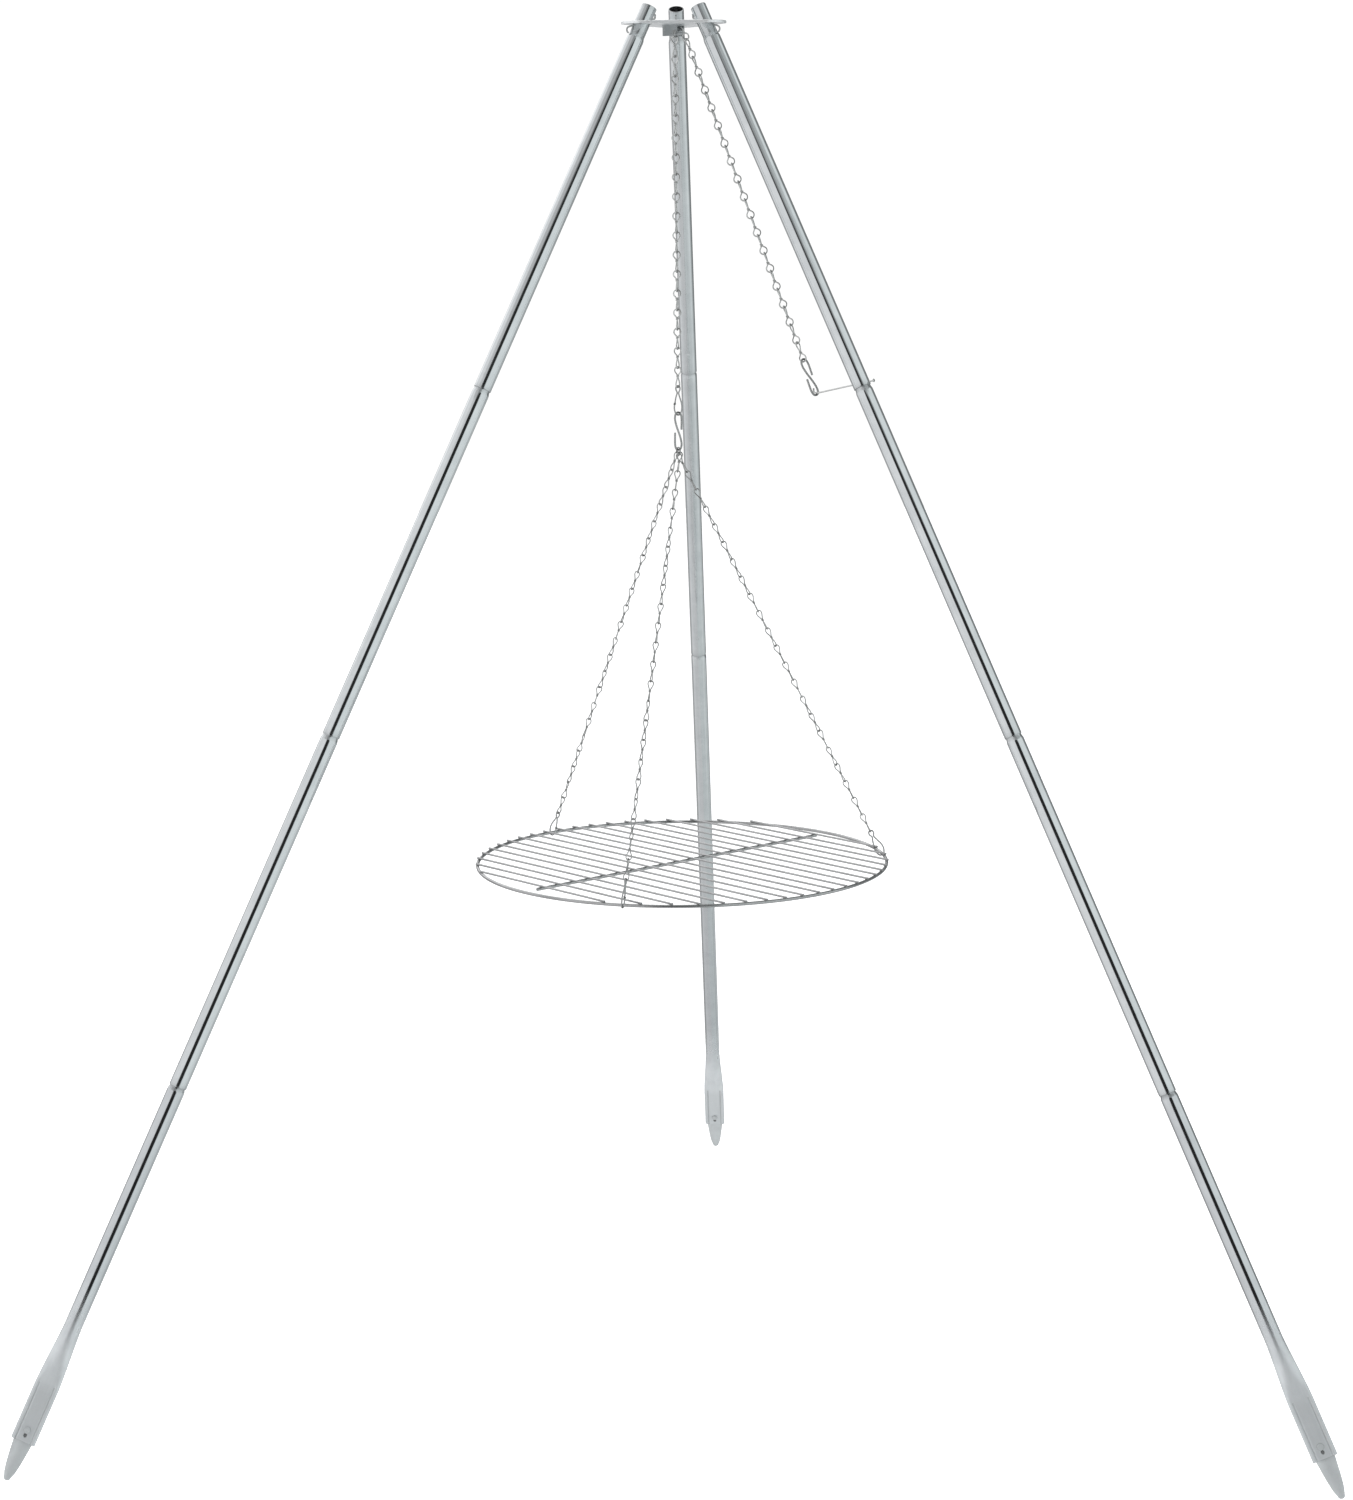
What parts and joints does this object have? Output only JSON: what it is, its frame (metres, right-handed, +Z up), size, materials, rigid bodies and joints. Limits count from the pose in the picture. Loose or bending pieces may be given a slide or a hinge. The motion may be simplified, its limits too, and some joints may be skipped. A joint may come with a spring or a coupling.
{
  "type": "campfire tripod grate",
  "caption": "Free-standing steel tripod of plug-together tube legs, with a round barred cooking grate hung on adjustable chain from the hub plate.",
  "frame": {"origin": "on the ground, straight under the centre of the hub plate", "axes": "+Z up; +Y towards the back leg; +X to the right seen from the front; the front view looks along +Y between the two front legs"},
  "size_m": [1.508, 1.3045, 1.6524],
  "materials": {
    "tube_steel": "bright galvanised",
    "spike_steel": "matte galvanised",
    "plate_steel": "galvanised sheet",
    "wire_steel": "zinc plated wire",
    "chain_steel": "zinc plated wire",
    "grate_steel": "plated wire"
  },
  "bodies": {
    "hub": {"hub_plate": "plate_steel", "pulley_bracket": "plate_steel", "bracket_rivets": "plate_steel", "roller_axle": "wire_steel", "chain_top_link": "chain_steel"},
    "roller": {"pulley_roller": "plate_steel"},
    "leg_back_top": {"leg_back_tube_1": "tube_steel", "leg_back_stop_pin": "wire_steel"},
    "leg_back_second": {"leg_back_tube_2": "tube_steel"},
    "leg_back_third": {"leg_back_tube_3": "tube_steel"},
    "leg_back_foot": {"leg_back_foot_tube": "tube_steel", "leg_back_spike": "spike_steel", "leg_back_spike_rivet": "plate_steel"},
    "leg_left_top": {"leg_left_tube_1": "tube_steel", "leg_left_stop_pin": "wire_steel"},
    "leg_left_second": {"leg_left_tube_2": "tube_steel"},
    "leg_left_third": {"leg_left_tube_3": "tube_steel"},
    "leg_left_foot": {"leg_left_foot_tube": "tube_steel", "leg_left_spike": "spike_steel", "leg_left_spike_rivet": "plate_steel"},
    "leg_right_top": {"leg_right_tube_1": "tube_steel", "leg_right_stop_pin": "wire_steel", "leg_right_tube_2": "tube_steel", "hook_rod": "wire_steel"},
    "leg_right_third": {"leg_right_tube_3": "tube_steel"},
    "leg_right_foot": {"leg_right_foot_tube": "tube_steel", "leg_right_spike": "spike_steel", "leg_right_spike_rivet": "plate_steel"},
    "adjuster": {"adjuster_chain": "chain_steel", "adjuster_s_hook": "wire_steel"},
    "top_link": {"first_link": "chain_steel"},
    "hanging_chain": {"main_chain": "chain_steel", "main_snap_hook": "wire_steel", "main_s_hook": "wire_steel"},
    "grate": {"gathering_ring": "wire_steel", "grate_chain_1": "chain_steel", "grate_chain_2": "chain_steel", "grate_chain_3": "chain_steel", "grate_hook_1": "wire_steel", "grate_hook_2": "wire_steel", "grate_hook_3": "wire_steel", "grate_ring": "grate_steel", "grate_rods": "grate_steel", "grate_crossbar": "grate_steel"}
  },
  "joints": [
    {"name": "roller_spin", "type": "hinge", "parent": "hub", "child": "roller", "pos_m": [0.00433, -0.0025, 1.6195], "axis": [-0.5, -0.866, 0], "continuous": true},
    {"name": "leg_back_fold", "type": "hinge", "parent": "hub", "child": "leg_back_top", "pos_m": [0, 0.042, 1.63], "axis": [-1, 0, 0], "range_deg": [0, 10]},
    {"name": "leg_back_joint_1", "type": "slide", "parent": "leg_back_top", "child": "leg_back_second", "axis": [0, 0.452, -0.892], "range_m": [0, 0.028]},
    {"name": "leg_back_joint_2", "type": "slide", "parent": "leg_back_second", "child": "leg_back_third", "axis": [0, 0.452, -0.892], "range_m": [0, 0.028]},
    {"name": "leg_back_joint_3", "type": "slide", "parent": "leg_back_third", "child": "leg_back_foot", "axis": [0, 0.452, -0.892], "range_m": [0, 0.028]},
    {"name": "leg_left_fold", "type": "hinge", "parent": "hub", "child": "leg_left_top", "pos_m": [-0.03637, -0.021, 1.63], "axis": [0.5, -0.866, 0], "range_deg": [0, 10]},
    {"name": "leg_left_joint_1", "type": "slide", "parent": "leg_left_top", "child": "leg_left_second", "axis": [-0.3915, -0.226, -0.892], "range_m": [0, 0.028]},
    {"name": "leg_left_joint_2", "type": "slide", "parent": "leg_left_second", "child": "leg_left_third", "axis": [-0.3915, -0.226, -0.892], "range_m": [0, 0.028]},
    {"name": "leg_left_joint_3", "type": "slide", "parent": "leg_left_third", "child": "leg_left_foot", "axis": [-0.3915, -0.226, -0.892], "range_m": [0, 0.028]},
    {"name": "leg_right_fold", "type": "hinge", "parent": "hub", "child": "leg_right_top", "pos_m": [0.03637, -0.021, 1.63], "axis": [0.5, 0.866, 0], "range_deg": [0, 10]},
    {"name": "leg_right_joint_2", "type": "slide", "parent": "leg_right_top", "child": "leg_right_third", "axis": [0.3915, -0.226, -0.892], "range_m": [0, 0.028]},
    {"name": "leg_right_joint_3", "type": "slide", "parent": "leg_right_third", "child": "leg_right_foot", "axis": [0.3915, -0.226, -0.892], "range_m": [0, 0.028]},
    {"name": "adjuster_swing", "type": "hinge", "parent": "hub", "child": "adjuster", "pos_m": [0.01299, -0.0075, 1.614], "axis": [0.5, 0.866, 0], "range_deg": [0, 10.2]},
    {"name": "chain_swing_sideways", "type": "hinge", "parent": "hub", "child": "top_link", "pos_m": [0, 0, 1.61395], "axis": [-0.5, -0.866, 0], "range_deg": [-3, 3]},
    {"name": "chain_swing_forward", "type": "hinge", "parent": "top_link", "child": "hanging_chain", "pos_m": [0, 0, 1.5956], "axis": [0.866, -0.5, 0], "range_deg": [-3, 3]},
    {"name": "grate_turn", "type": "hinge", "parent": "hanging_chain", "child": "grate", "pos_m": [0, 0, 1.125], "axis": [0, 0, 1], "range_deg": [-30, 30]}
  ],
  "couplings": [
    {"joint": "adjuster_swing", "follows": "leg_right_fold", "ratio": 1.013}
  ]
}
